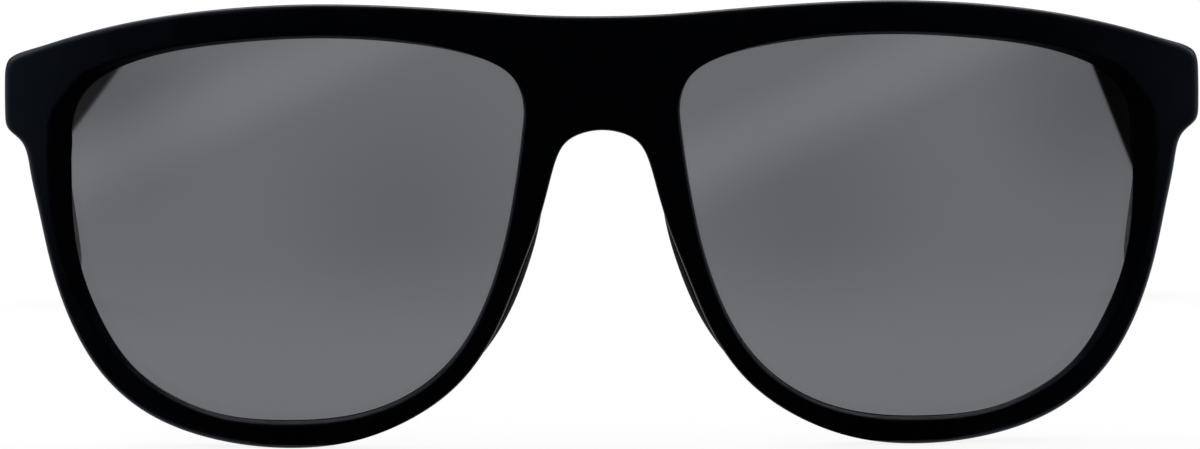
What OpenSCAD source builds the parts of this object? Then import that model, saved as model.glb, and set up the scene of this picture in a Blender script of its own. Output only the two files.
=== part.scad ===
// Square sunglasses, standing open on the two rims and the two temple tips.
// +X is the viewer's right, the front faces -Y, the temples run to +Y and +Z is up.
// Every height below is worked out from the centre of the lens spheres, and stand()
// then lifts the whole object onto z = 0.

/* [Lenses] */
// Width of a lens inside its rim
lens_w = 55.4; // [50:0.1:60]
// Height of a lens inside its rim
lens_h = 47.1; // [42:0.1:52]
// Gap between the two lens openings at the bridge
bridge_w = 19.1; // [17:0.1:24]
// Thickness of a lens
lens_t = 2; // [1.6:0.1:2.4]
// Radius of the sphere that a lens is cut from
ball_r = 132.5; // [110:0.5:180]
// Distance of each sphere's centre from the middle of the front
ball_x = 21; // [16:0.5:26]
// Height of the lens centre over the sphere's centre
lens_rise = 1.3; // [0:0.1:3]
// How far a lens reaches into its groove
lens_seat = 0.75; // [0.6:0.05:0.9]
// Play between a lens and its groove
lens_play = 0.06; // [0.04:0.01:0.1]

/* [Front] */
// How far the face of the front stands before the lenses
face_proud = 1.5; // [1.2:0.1:2]
// Thickness of the front
front_t = 4.4; // [4.2:0.1:5]
// Height of the rim over a lens
rim_brow = 4.1; // [3.6:0.1:5]
// Reach of the end piece beyond the lens
end_w = 9; // [8.6:0.1:10]
// Width of the rim beside a lens
rim_side = 4.2; // [4:0.1:5.5]
// Height of the rim under a lens
rim_low = 3.3; // [3:0.1:4.5]
// Width of the rim beside the nose
rim_nose = 3.4; // [3.2:0.1:4]
// Width of the sloping band round a lens, at its widest
bevel_w = 2.9; // [2:0.1:3]
// Thickness of the lip before a lens
lip_t = 0.3; // [0.2:0.05:0.5]
// Radius of the front edge
edge_r = 0.6; // [0.5:0.1:1.1]
// Radius of the rear edge
rear_r = 1.1; // [0.6:0.1:1.3]
// How much smaller the outline is at the rear
wall_draft = 0.25; // [0:0.05:0.4]
// Thickness of the end piece at its outer edge
end_t = 3.9; // [3.6:0.1:4.6]
// Height of the flat that the temple shuts against
land_h = 7.4; // [7:0.1:8]

/* [Temples] */
// Height of a temple at the hinge
temple_h = 7.7; // [7.2:0.1:8.2]
// Thickness of a temple at the hinge
temple_t = 3.6; // [3.3:0.1:4]
// Height of the tip
tip_h = 8; // [7:0.1:9]
// Thickness of the tip
tip_t = 3; // [2.6:0.1:3.4]
// Length of the straight stretch, from the front to the bend over the ear
straight_l = 84; // [78:0.5:92]
// Angle at which a temple falls away from the front
slope = 7.5; // [6:0.25:9]
// Angle of the bend over the ear
ear_bend = 36; // [30:0.5:42]
// Radius of that bend
ear_r = 35; // [28:0.5:42]
// How far the tips curve inwards
tip_in = 2; // [0:0.1:4]
// How far a temple bows outwards
bow = 0.4; // [0:0.1:0.8]
// Radius of a temple's long edges
temple_r = 1.1; // [0.8:0.05:1.3]
// Radius of the wire inside a temple
wire_r = 0.7; // [0.5:0.05:0.8]
// Play round that wire
wire_play = 0.04; // [0.02:0.01:0.06]
// Length of bare temple behind the wire
wire_end = 16; // [12:1:24]

/* [Hinges] */
// Outer radius of the hinge barrels
barrel_r = 1.7; // [1.5:0.05:1.8]
// Height of each barrel that the front carries
front_barrel_h = 1.2; // [1:0.05:1.25]
// Height of each barrel that a temple carries
temple_barrel_h = 0.9; // [0.8:0.05:0.95]
// Gap between one barrel and the next
barrel_gap = 0.05; // [0.04:0.01:0.08]
// Radius of the hinge screw
pin_r = 0.7; // [0.6:0.05:0.8]
// Play of the temple's barrels on the screw
pin_play = 0.04; // [0.02:0.01:0.08]
// Gap between a temple's end and the front
shut_gap = 0.1; // [0.05:0.01:0.2]
// Thickness of the hinge leaves
leaf_t = 1; // [0.9:0.05:1.1]
// Length of the leaf on the temple
leaf_l = 11; // [10:0.5:13]
// Radius of the two small screws in that leaf
leaf_screw_r = 0.5; // [0.4:0.05:0.6]
// Radius of their heads
leaf_head_r = 0.9; // [0.8:0.05:1]
// Length of their shanks in the temple
leaf_screw_l = 1.7; // [1.4:0.1:2]
// Radius of the pegs that hold the front leaf
peg_r = 0.6; // [0.5:0.05:0.7]
// Depth of those pegs
peg_l = 1.4; // [1.2:0.1:1.6]

/* [Nose pads] */
// How far a pad stands out beyond the rim
pad_out = 0.95; // [0.8:0.05:1.3]
// How far a pad stands behind the rim
pad_back = 4.4; // [3.8:0.1:5]
// Width of the pad's foot on the rim
pad_foot = 2.3; // [2:0.1:2.5]
// Radius of the pegs under a pad
pad_peg_r = 0.5; // [0.4:0.05:0.6]
// Depth of those pegs
pad_peg_l = 1.2; // [1:0.1:1.5]

/* [Hidden] */
$fn = 48;
// The rim is drawn on a lens 55.4 wide and 47.1 high, with rims of the widths above
kx = lens_w / 55.4;
kz = lens_h / 47.1;
k_brow = rim_brow / 4.1;
k_end = end_w / 9;
k_side = rim_side / 4.2;
k_low = rim_low / 3.3;
k_nose = rim_nose / 3.4;
lens_x = (bridge_w + lens_w) / 2;
// Each spoke joins a point of the lens opening, from the lens centre, to the rim's
// outline: lens x, lens z, reach x, reach z and share of the widest bevel. They run
// from the middle of the brow over the lens, down the side and up along the nose.
spokes = [
  [-24.4, 20.4, 0, 5.8 * k_brow, 0.2],
  [-20.2, 21.9, -9 * k_brow, 4.5 * k_brow, 0.2],
  [-14.2, 23, -5.5 * k_brow, 4.1 * k_brow, 0.2],
  [-7.2, 23.6, -2 * k_brow, 4.1 * k_brow, 0.2],
  [0.3, 23.6, 0.5 * k_brow, 4.1 * k_brow, 0.2],
  [7.8, 23, 3 * k_brow, 3.9 * k_brow, 0.2],
  [15.4, 21.8, 4.9 * k_brow, 3.5 * k_brow, 0.24],
  [21.4, 19.9, 6.9 * k_end, 3.2 * k_brow, 0.35],
  [24.8, 17.9, 8 * k_end, 3.6 * k_brow, 0.56],
  [26.4, 16.1, 9 * k_end, 4 * k_brow, 0.62],
  [27.2, 14.4, 8.7 * k_end, 3.5 * k_brow, 0.82],
  [27.6, 12.4, 8.3 * k_end, 1.5 * k_end, 0.98],
  [27.6, 10.6, 7.9 * k_end, 1.3 * k_end, 1],
  [27.7, 8.9, 6.1 * k_side, 1.4 * k_side, 1],
  [27.7, 6.2, 5.1 * k_side, 0.5 * k_side, 0.96],
  [27.6, 1.7, 4.2 * k_side, 0.2 * k_side, 0.92],
  [26.7, -4.6, 3.6 * k_side, -0.3 * k_side, 0.85],
  [24.6, -10.4, 3.1 * k_side, -1.9 * k_low, 0.76],
  [21, -16.3, 2.9 * k_side, -2.1 * k_low, 0.64],
  [15.9, -20.4, 2.4 * k_low, -2.6 * k_low, 0.52],
  [9.4, -22.9, 1.3 * k_low, -2.9 * k_low, 0.49],
  [2, -23.5, 0.3 * k_low, -3.3 * k_low, 0.48],
  [-5.2, -23, -0.9 * k_low, -3 * k_low, 0.4],
  [-12, -20.9, -1.6 * k_low, -2.2 * k_low, 0.3],
  [-17.6, -16.9, -2.2 * k_nose, -1.5 * k_nose, 0.25],
  [-21.6, -11.3, -2.6 * k_nose, -0.6 * k_nose, 0.2],
  [-24.3, -4.5, -2.7 * k_nose, -0.7 * k_nose, 0.2],
  [-25.8, 1.4, -3.4 * k_nose, -0.8 * k_nose, 0.2],
  [-26.7, 6.5, -4 * k_nose, -0.8 * k_nose, 0.2],
  [-27.2, 9.9, -4.9 * k_nose, 0.1 * k_nose, 0.2],
  [-27.5, 12.3, -6.3 * k_nose, -0.6 * k_nose, 0.2],
  [-27.7, 14.3, 0, -1.8 * k_nose, 0.2],
  [-27.5, 16.5, 0, 1.5 * k_brow, 0.2],
  [-26.5, 18.7, 0, 2.6 * k_brow, 0.2]
];
spoke_n = len(spokes);
// The spoke that ends at the top of the nose arch
arch = 31;
// Rings between one spoke and the next
fine = 3;
ring_n = spoke_n * fine;
function at(list, i) = list[(i + len(list)) % len(list)];
function mirrored(p) = [-p[0], p[1]];
function on_middle(i) = let (k = (i + spoke_n) % spoke_n) k == 0 || k >= arch;
lens_points = [for (s = spokes) [lens_x + s[0] * kx, lens_rise + s[1] * kz]];
rim_points = [
  for (i = [0 : spoke_n - 1])
    let (s = spokes[i], p = lens_points[i])
      on_middle(i) ? [0, p[1] + s[3]] : [p[0] + s[2], p[1] + s[3]]
];
bevel_points = [for (s = spokes) [bevel_w * s[4], 0]];
// Smooth curve through b and c, with a and d as their neighbours
function curve(a, b, c, d, t) =
  b + (c - a) * t / 2
  + (2 * a - 5 * b + 4 * c - d) * t * t / 2
  + (3 * b - a - 3 * c + d) * t * t * t / 2;
function through(list, i, t) =
  curve(at(list, i - 1), at(list, i), at(list, i + 1), at(list, i + 2), t);
// The rim's outline meets the middle plane square, so its neighbour there is its mirror image
function rim_curve(i, t) =
  i >= arch ? at(rim_points, i) * (1 - t) + at(rim_points, i + 1) * t
  : curve(
      i == 0 ? mirrored(rim_points[1]) : rim_points[i - 1],
      rim_points[i],
      rim_points[i + 1],
      i == arch - 1 ? mirrored(rim_points[i]) : rim_points[i + 2],
      t
    );
function rings(f) = [for (i = [0 : spoke_n - 1], k = [0 : fine - 1]) f(i, k / fine)];
lens_ring = rings(function (i, t) through(lens_points, i, t));
rim_ring = rings(function (i, t) rim_curve(i, t));
bevel_ring = rings(function (i, t) through(bevel_points, i, t)[0]);
function unit(v) = v / max(norm(v), 0.000001);
function outward(a, b) = unit([a[1] - b[1], b[0] - a[0]]);
lens_out = [for (j = [0 : ring_n - 1]) outward(at(lens_ring, j - 1), at(lens_ring, j + 1))];
arch_ring = arch * fine;
rim_out = [
  for (j = [0 : ring_n - 1])
    j == 0 ? [0, 1] : j == arch_ring ? [0, -1] : j > arch_ring ? [0, 0]
    : outward(rim_ring[j - 1], at(rim_ring, j + 1))
];

// Depth of the lens surfaces and of the front's two faces
function dome(r, x, z) = ball_r - sqrt(r * r - x * x - z * z);
function lens_front(p) = dome(ball_r, p[0] - ball_x, p[1]);
function lens_rear(p) = dome(ball_r - lens_t, p[0] - ball_x, p[1]);
function face(p) = dome(ball_r, max(p[0] - ball_x, 0), p[1]) - face_proud;
function ease(a, b, v) = let (t = min(max((v - a) / (b - a), 0), 1)) t * t * (3 - 2 * t);

// The end piece, its flat land and the hinge behind it
end_top = rim_points[9];
end_side = rim_points[11];
end_low = rim_points[12];
hinge_z = (end_top[1] + end_low[1]) / 2;
land_y = face([end_side[0], hinge_z]) + end_t;
lens_edge = lens_x + lens_w / 2;
// Where the rear face starts to rise to the land, where it is flat, and how it fades
// above and below
land_start = 7.5;
land_flat = 1.2;
land_fade = 2.7;
function land_share(p) =
  ease(lens_edge - land_start, lens_edge - land_flat, p[0])
  * (1 - ease(land_h / 2, land_h / 2 + land_fade, abs(p[1] - hinge_z)));
function rear(p) = let (y = face(p) + front_t) y + (land_y - y) * land_share(p);
// The temple's outer face lies a little inside the end piece's outer side
edge_gap = 0.15;
temple_out_x = end_side[0] - edge_gap;
temple_in_x = temple_out_x - temple_t;

// The barrels stand clear of the land and of the temple's inner face
barrel_clear = 0.2;
hinge_x = temple_in_x - barrel_clear - barrel_r;
hinge_y = land_y + barrel_clear + barrel_r;
hinge_h = 3 * front_barrel_h + 2 * temple_barrel_h + 4 * barrel_gap;
hinge_low = hinge_z - hinge_h / 2;
pitch = front_barrel_h + temple_barrel_h + 2 * barrel_gap;
// The front leaf's reach from the screw's axis towards the temple, and its pegs
plate_out = 3.7;
peg_inset = 1;
peg_places = [peg_inset - barrel_r, plate_out - peg_inset];
// Gap round a leaf, a foot or a head in its recess
seat_gap = 0.02;
web_w = 2.4;
// The hinge screw's head and the slots of all the screws
head_r = 1.15;
head_h = 0.5;
slot_w = 0.25;
slot_depth = 0.25;
// The leaf on the temple: its height, its start behind the screw's axis, its two
// small screws and the depth of their heads
leaf_h = 4.4;
leaf_from = 2;
leaf_inset = 2.2;
leaf_screws = [leaf_from + leaf_inset + 0.8, leaf_from + leaf_l - leaf_inset];
leaf_head_h = 0.5;

// Nose pads follow the rim's outline beside the nose, between two of its spokes
pad_from = 24.1;
pad_to = 27.4;
pad_n = 14;
pad_peg_places = [25, 26.6];
pad_gap = 0.05;
function rim_place(u) = rim_curve(floor(u), u - floor(u));
function rim_side_way(u) = outward(rim_place(u - 0.05), rim_place(u + 0.05));

// The temple's middle line: a straight stretch, the bend over the ear, and a straight tip
steep = slope + ear_bend;
rim_floor = min([for (p = rim_ring) p[1]]);
bend_y = land_y + shut_gap + straight_l * cos(slope);
bend_z = hinge_z - straight_l * sin(slope);
tip_y = bend_y + ear_r * (sin(steep) - sin(slope));
tip_z = bend_z - ear_r * (cos(slope) - cos(steep));
bend_l = ear_r * ear_bend * PI / 180;
tip_l = (tip_z - rim_floor - tip_h / 2) / sin(steep);
temple_l = straight_l + bend_l + tip_l;
last_y = tip_y + tip_l * cos(steep);
function line_angle(s) =
  s < straight_l ? slope : s < straight_l + bend_l ? slope + (s - straight_l) / ear_r * 180 / PI : steep;
function line_point(s) =
  let (a = line_angle(s), q = s - straight_l - bend_l)
    s < straight_l ? [land_y + shut_gap + s * cos(slope), hinge_z - s * sin(slope)]
    : q < 0 ? [bend_y + ear_r * (sin(a) - sin(slope)), bend_z - ear_r * (cos(slope) - cos(a))]
    : [tip_y + q * cos(steep), tip_z - q * sin(steep)];
flat_l = 15;
function line_x(s) =
  (temple_in_x + temple_out_x) / 2
  + bow * ease(flat_l, temple_l / 2, s)
  - (tip_in + bow) * pow(ease(temple_l * 0.45, temple_l * 1.15, s), 1.2) * 1.2;
function temple_height(s) = temple_h + (tip_h - temple_h) * ease(flat_l, temple_l, s);
function temple_thick(s) = temple_t + (tip_t - temple_t) * ease(flat_l, temple_l * 0.7, s);
// The rounded end of the tip, as a share of the full height and thickness
function tip_share(s) = let (q = max(s - temple_l, 0) / (tip_h / 2)) sqrt(max(1 - q * q, 0));
temple_steps = [
  0, flat_l, 26, 38, 50, 62, 73, straight_l, straight_l + 0.17 * bend_l,
  straight_l + 0.34 * bend_l, straight_l + 0.5 * bend_l, straight_l + 0.67 * bend_l,
  straight_l + 0.84 * bend_l, straight_l + bend_l, temple_l - 0.6 * tip_l,
  temple_l - 0.3 * tip_l, temple_l, temple_l + 0.18 * tip_h, temple_l + 0.32 * tip_h,
  temple_l + 0.42 * tip_h, temple_l + 0.48 * tip_h, temple_l + 0.497 * tip_h
];
front_y = min([for (p = rim_ring) face(p)]);
origin_y = (front_y + last_y + tip_h / 2) / 2;

module stand() {
  translate([0, -origin_y, -rim_floor]) children();
}

module both_sides(side) {
  if (side > 0) children();
  else mirror([1, 0, 0]) children();
}

// A closed skin over rings of points, each ring with the same number of points
module skin(list) {
  n = len(list);
  m = len(list[0]);
  sides = [
    for (i = [0 : n - 2], k = [0 : m - 1])
      each [
        [i * m + k, i * m + (k + 1) % m, (i + 1) * m + (k + 1) % m],
        [i * m + k, (i + 1) * m + (k + 1) % m, (i + 1) * m + k]
      ]
  ];
  ends = [
    for (k = [1 : m - 2])
      each [[0, k + 1, k], [(n - 1) * m, (n - 1) * m + k, (n - 1) * m + k + 1]]
  ];
  polyhedron(points = [for (ring = list) each ring], faces = concat(sides, ends));
}

function spot(p, y) = [p[0], y, p[1]];
// Bevel of the rear face's inner edge
inner_cut = 0.5;
// Rounding of the rear edge behind an end piece, where a temple shuts
land_r = 0.6;

// The rim's section at ring j: bevel, face, outer wall, rear face, inner wall and groove
function section(j) =
  let (
    a = lens_ring[j],
    o = rim_ring[j],
    b = a + lens_out[j] * bevel_ring[j],
    f = o - rim_out[j] * edge_r,
    f2 = o - rim_out[j] * edge_r * (1 - sin(45)),
    land = land_share(o),
    round_r = rear_r + (land_r - rear_r) * land,
    q = o - rim_out[j] * wall_draft * (1 - land),
    r = q - rim_out[j] * round_r,
    r2 = q - rim_out[j] * round_r * (1 - sin(45)),
    k = a + lens_out[j] * inner_cut,
    g = a + lens_out[j] * (lens_seat + lens_play)
  ) [
    spot(a, lens_front(a) - lens_play - lip_t),
    spot(b, face(b)),
    spot((b + f) / 2, face((b + f) / 2)),
    spot(f, face(f)),
    spot(f2, face(f2) + edge_r * (1 - cos(45))),
    spot(o, face(o) + edge_r),
    spot(q, rear(q) - round_r),
    spot(r2, rear(r2) - round_r * (1 - cos(45))),
    spot(r, rear(r)),
    spot((k + r) / 2, rear((k + r) / 2)),
    spot(k, rear(k)),
    spot(a, rear(a) - inner_cut),
    spot(a, lens_rear(a) + lens_play),
    spot(g, lens_rear(g) + lens_play),
    spot(g, lens_front(g) - lens_play),
    spot(a, lens_front(a) - lens_play)
  ];
section_n = 16;
wall_from = 3;
wall_to = 8;

module front_shell() {
  half = [for (j = [0 : ring_n - 1]) each section(j)];
  half_n = len(half);
  // Points of the wall on the middle plane belong to both halves
  shared = [
    for (j = [0 : ring_n - 1], k = [0 : section_n - 1])
      (j == 0 || j >= arch_ring) && k >= wall_from && k <= wall_to
  ];
  whole = concat(half, [for (p = half) [-p[0], p[1], p[2]]]);
  quads = [
    for (j = [0 : ring_n - 1], k = [0 : section_n - 1])
      let (i = (j + 1) % ring_n, m = (k + 1) % section_n)
        if (!(j >= arch_ring && k >= wall_from && k < wall_to))
          [j * section_n + k, i * section_n + k, i * section_n + m, j * section_n + m]
  ];
  function other(v) = shared[v] ? v : v + half_n;
  right = [for (q = quads) each [[q[0], q[2], q[1]], [q[0], q[3], q[2]]]];
  left = [for (t = right) [other(t[0]), other(t[2]), other(t[1])]];
  polyhedron(points = whole, faces = concat(right, left));
}

module hinge_plate(gap) {
  translate([hinge_x - barrel_r - gap, land_y - leaf_t, hinge_low - gap])
    cube([barrel_r + plate_out + 2 * gap, leaf_t + gap, hinge_h + 2 * gap]);
}

module plate_pegs() {
  for (dx = peg_places)
    translate([hinge_x + dx, land_y - leaf_t, hinge_z])
      rotate([90, 0, 0])
        cylinder(r = peg_r, h = peg_l);
}

module pad_pegs() {
  for (u = pad_peg_places)
    let (p = rim_place(u) - rim_side_way(u) * pad_foot / 2)
      translate([p[0], rear(p) - pad_peg_l, p[1]])
        rotate([-90, 0, 0])
          cylinder(r = pad_peg_r, h = pad_peg_l + 0.15 * pad_back);
}

module front_frame() {
  color("#0e1013")
    difference() {
      front_shell();
      for (side = [-1, 1])
        both_sides(side) {
          hinge_plate(seat_gap);
          plate_pegs();
          pad_pegs();
        }
    }
}

module lens() {
  edge = [for (j = [0 : ring_n - 1]) lens_ring[j] + lens_out[j] * lens_seat];
  color("#6a6b6e", 0.6)
    intersection() {
      translate([ball_x, ball_r, 0])
        difference() {
          sphere(r = ball_r, $fn = 200);
          sphere(r = ball_r - lens_t, $fn = 200);
        }
      translate([0, lens_w / 2, 0])
        rotate([90, 0, 0])
          linear_extrude(height = 0.75 * lens_w)
            polygon(edge);
    }
}

// The pad's section at place u along the rim: a foot on the rim's rear face, and a
// rounded back that leans out towards the nose
function pad_section(u) =
  let (
    p = rim_place(u),
    n = rim_side_way(u),
    t = (u - pad_from) / (pad_to - pad_from),
    swell = sin(180 * (0.04 + 0.92 * t)),
    out = pad_out * swell,
    back = pad_back * sqrt(swell),
    base = p - n * pad_foot
  ) [
    for (q = [
      [0, pad_gap], [0.9 * pad_foot, pad_gap], [pad_foot + 0.35 * out, 0.07 * pad_back],
      [pad_foot + 0.9 * out, 0.3 * back], [pad_foot + out, 0.5 * back],
      [pad_foot + 0.7 * out, 0.8 * back], [0.75 * pad_foot, back],
      [0.3 * pad_foot, 0.85 * back], [0, 0.45 * back]
    ])
      let (w = base + n * q[0], foot = rear(base + n * min(q[0], 0.9 * pad_foot)))
        [w[0], foot + q[1], w[1]]
  ];

module nose_pad() {
  color("#17181b") {
    skin([for (i = [0 : pad_n]) pad_section(pad_from + (pad_to - pad_from) * i / pad_n)]);
    pad_pegs();
  }
}

module front_hinge() {
  color("#8d9095")
    difference() {
      union() {
        hinge_plate(0);
        plate_pegs();
        for (i = [0 : 2])
          translate([hinge_x, hinge_y, hinge_low + i * pitch]) {
            cylinder(r = barrel_r, h = front_barrel_h);
            translate([-web_w / 2, land_y - leaf_t / 2 - hinge_y, 0])
              cube([web_w, hinge_y - land_y + leaf_t / 2, front_barrel_h]);
          }
      }
      translate([hinge_x, hinge_y, hinge_low - 1])
        cylinder(r = pin_r, h = hinge_h + 2);
      translate([hinge_x, hinge_y, hinge_low + hinge_h - head_h])
        cylinder(r = head_r + seat_gap, h = head_h + 1);
    }
}

module leaf_places() {
  translate([temple_in_x, hinge_y, hinge_z])
    rotate([-slope, 0, 0])
      for (d = leaf_screws)
        translate([0, d, 0])
          rotate([0, 90, 0])
            children();
}

module temple_hinge() {
  color("#8d9095")
    difference() {
      union() {
        translate([temple_in_x - leaf_t, hinge_y, hinge_z])
          rotate([-slope, 0, 0])
            translate([0, leaf_from, -leaf_h / 2])
              cube([leaf_t, leaf_l, leaf_h]);
        for (i = [0 : 1])
          translate([hinge_x, hinge_y, hinge_low + i * pitch + front_barrel_h + barrel_gap]) {
            cylinder(r = barrel_r, h = temple_barrel_h);
            cube([temple_in_x - hinge_x, leaf_from + leaf_t, temple_barrel_h]);
          }
      }
      translate([hinge_x, hinge_y, hinge_low - 1])
        cylinder(r = pin_r + pin_play, h = hinge_h + 2);
      leaf_places() {
        translate([0, 0, -leaf_t - 1])
          cylinder(r = leaf_screw_r, h = leaf_t + 2);
        translate([0, 0, -leaf_t - 1])
          cylinder(r = leaf_head_r + seat_gap, h = leaf_head_h + 1);
      }
    }
}

module hinge_screw() {
  color("#b9bcc1")
    translate([hinge_x, hinge_y, hinge_low])
      difference() {
        union() {
          cylinder(r = pin_r, h = hinge_h - head_h / 2);
          translate([0, 0, hinge_h - head_h])
            cylinder(r = head_r, h = head_h);
        }
        translate([-2 * head_r, -slot_w / 2, hinge_h - slot_depth])
          cube([4 * head_r, slot_w, 1]);
      }
}

module temple_hinge_screws() {
  color("#b9bcc1")
    leaf_places() {
      difference() {
        union() {
          translate([0, 0, leaf_head_h / 2 - leaf_t])
            cylinder(r = leaf_screw_r, h = leaf_t - leaf_head_h / 2 + leaf_screw_l);
          translate([0, 0, -leaf_t])
            cylinder(r = leaf_head_r, h = leaf_head_h);
        }
        translate([-slot_w / 2, -2 * leaf_head_r, -leaf_t - 1])
          cube([slot_w, 4 * leaf_head_r, 1 + slot_depth]);
      }
    }
}

// A temple's section: a rectangle with rounded corners and a slightly crowned outer face
function temple_section(s) =
  let (
    a = s == 0 ? 0 : line_angle(s),
    l = line_point(s),
    q = tip_share(s),
    h = temple_height(min(s, temple_l)) / 2 * q / (s == 0 ? cos(slope) : 1),
    t = temple_thick(s) / 2 * (0.25 + 0.75 * q),
    r = min(temple_r, t * 0.8, h * 0.8),
    crown = 0.12 * q
  ) [
    for (c = [
      [-t, -h + r], [-t + 0.3 * r, -h + 0.3 * r], [-t + r, -h],
      [t - r, -h], [t - 0.3 * r, -h + 0.3 * r], [t, -h + r], [t + crown, 0],
      [t, h - r], [t - 0.3 * r, h - 0.3 * r], [t - r, h],
      [-t + r, h], [-t + 0.3 * r, h - 0.3 * r], [-t, h - r]
    ])
      [line_x(s) + c[0], l[0] + c[1] * sin(a), l[1] + c[1] * cos(a)]
  ];

wire_from = 26;
wire_steps = [for (s = temple_steps) if (s >= wire_from && s < temple_l - wire_end) s];
function wire_section(s, r) =
  let (a = line_angle(s), l = line_point(s)) [
    for (k = [0 : 7])
      [line_x(s) + r * cos(k * 45), l[0] + r * sin(k * 45) * sin(a), l[1] + r * sin(k * 45) * cos(a)]
  ];

module wire(r, more) {
  n = len(wire_steps);
  skin([
    for (i = [0 : n - 1])
      wire_section(wire_steps[i] + (i == 0 ? -more : i == n - 1 ? more : 0), r)
  ]);
}

module temple() {
  color("#0e1013")
    difference() {
      skin([for (s = temple_steps) temple_section(s)]);
      wire(wire_r + wire_play, wire_play);
      leaf_places()
        translate([0, 0, -1])
          cylinder(r = leaf_screw_r, h = leaf_screw_l + 1.05);
    }
}

module core_wire() {
  color("#9a9da2")
    wire(wire_r, 0);
}

stand() front_frame();
stand() both_sides(-1) lens();  // lens_left
stand() both_sides(1) lens();  // lens_right
stand() both_sides(-1) nose_pad();  // nose_pad_left
stand() both_sides(1) nose_pad();  // nose_pad_right
stand() both_sides(-1) front_hinge();  // front_hinge_left
stand() both_sides(1) front_hinge();  // front_hinge_right
stand() both_sides(-1) temple_hinge();  // temple_hinge_left
stand() both_sides(1) temple_hinge();  // temple_hinge_right
stand() both_sides(-1) hinge_screw();  // hinge_screw_left
stand() both_sides(1) hinge_screw();  // hinge_screw_right
stand() both_sides(-1) temple_hinge_screws();  // temple_hinge_screws_left
stand() both_sides(1) temple_hinge_screws();  // temple_hinge_screws_right
stand() both_sides(-1) temple();  // temple_left
stand() both_sides(1) temple();  // temple_right
stand() both_sides(-1) core_wire();  // core_wire_left
stand() both_sides(1) core_wire();  // core_wire_right
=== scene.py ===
"""Square sunglasses: the looks of every piece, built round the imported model."""

import math

import bpy
import numpy as np
from mathutils import Matrix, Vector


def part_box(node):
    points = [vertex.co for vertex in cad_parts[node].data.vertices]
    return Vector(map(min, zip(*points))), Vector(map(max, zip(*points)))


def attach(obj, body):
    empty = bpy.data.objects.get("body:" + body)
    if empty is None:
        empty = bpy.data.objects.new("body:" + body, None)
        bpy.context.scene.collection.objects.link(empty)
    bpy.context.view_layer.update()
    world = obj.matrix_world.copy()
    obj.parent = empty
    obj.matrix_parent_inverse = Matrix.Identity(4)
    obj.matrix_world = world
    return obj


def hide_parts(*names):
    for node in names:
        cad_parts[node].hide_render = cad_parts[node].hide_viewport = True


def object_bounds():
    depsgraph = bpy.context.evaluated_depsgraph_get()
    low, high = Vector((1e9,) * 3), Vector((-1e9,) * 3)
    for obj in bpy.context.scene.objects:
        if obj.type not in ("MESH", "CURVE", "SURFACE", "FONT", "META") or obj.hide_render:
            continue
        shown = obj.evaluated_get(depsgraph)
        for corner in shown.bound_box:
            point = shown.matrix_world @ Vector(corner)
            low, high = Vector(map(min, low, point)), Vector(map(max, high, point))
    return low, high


bl_info = {
    "name": "Square sunglasses",
    "version": (1, 0, 0),
    "blender": (4, 5, 0),
    "location": "3D View > Sidebar > Sunglasses",
    "description": "Builds the front, lenses, nose pads and temples of a pair of square sunglasses",
    "category": "Add Mesh",
}

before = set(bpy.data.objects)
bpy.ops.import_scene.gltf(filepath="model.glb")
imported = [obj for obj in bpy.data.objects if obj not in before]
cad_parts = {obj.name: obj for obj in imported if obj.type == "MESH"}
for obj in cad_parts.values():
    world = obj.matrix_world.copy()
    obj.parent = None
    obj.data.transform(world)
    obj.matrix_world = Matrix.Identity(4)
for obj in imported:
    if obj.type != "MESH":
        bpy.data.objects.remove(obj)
CAD_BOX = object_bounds()
MM = 0.001

# The rim's spokes: lens x, lens z, reach x and reach z in mm, and the share of the widest
# bevel, from the nose's end of the brow over the lens, down the side and up along the nose
SPOKES = np.array([
    (-24.4, 20.4, 0, 5.8, 0.2),
    (-20.2, 21.9, -9, 4.5, 0.2),
    (-14.2, 23, -5.5, 4.1, 0.2),
    (-7.2, 23.6, -2, 4.1, 0.2),
    (0.3, 23.6, 0.5, 4.1, 0.2),
    (7.8, 23, 3, 3.9, 0.2),
    (15.4, 21.8, 4.9, 3.5, 0.24),
    (21.4, 19.9, 6.9, 3.2, 0.35),
    (24.8, 17.9, 8, 3.6, 0.56),
    (26.4, 16.1, 9, 4, 0.62),
    (27.2, 14.4, 8.7, 3.5, 0.82),
    (27.6, 12.4, 8.3, 1.5, 0.98),
    (27.6, 10.6, 7.9, 1.3, 1),
    (27.7, 8.9, 6.1, 1.4, 1),
    (27.7, 6.2, 5.1, 0.5, 0.96),
    (27.6, 1.7, 4.2, 0.2, 0.92),
    (26.7, -4.6, 3.6, -0.3, 0.85),
    (24.6, -10.4, 3.1, -1.9, 0.76),
    (21, -16.3, 2.9, -2.1, 0.64),
    (15.9, -20.4, 2.4, -2.6, 0.52),
    (9.4, -22.9, 1.3, -2.9, 0.49),
    (2, -23.5, 0.3, -3.3, 0.48),
    (-5.2, -23, -0.9, -3, 0.4),
    (-12, -20.9, -1.6, -2.2, 0.3),
    (-17.6, -16.9, -2.2, -1.5, 0.25),
    (-21.6, -11.3, -2.6, -0.6, 0.2),
    (-24.3, -4.5, -2.7, -0.7, 0.2),
    (-25.8, 1.4, -3.4, -0.8, 0.2),
    (-26.7, 6.5, -4, -0.8, 0.2),
    (-27.2, 9.9, -4.9, 0.1, 0.2),
    (-27.5, 12.3, -6.3, -0.6, 0.2),
    (-27.7, 14.3, 0, -1.8, 0.2),
    (-27.5, 16.5, 0, 1.5, 0.2),
    (-26.5, 18.7, 0, 2.6, 0.2),
])
SPOKE_N = len(SPOKES)
# The spokes at the nose arch's top and round the end piece, and the samples to a spoke
ARCH = 31
END_TOP, END_SIDE, END_LOW = 9, 11, 12
FINE = 12

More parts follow.
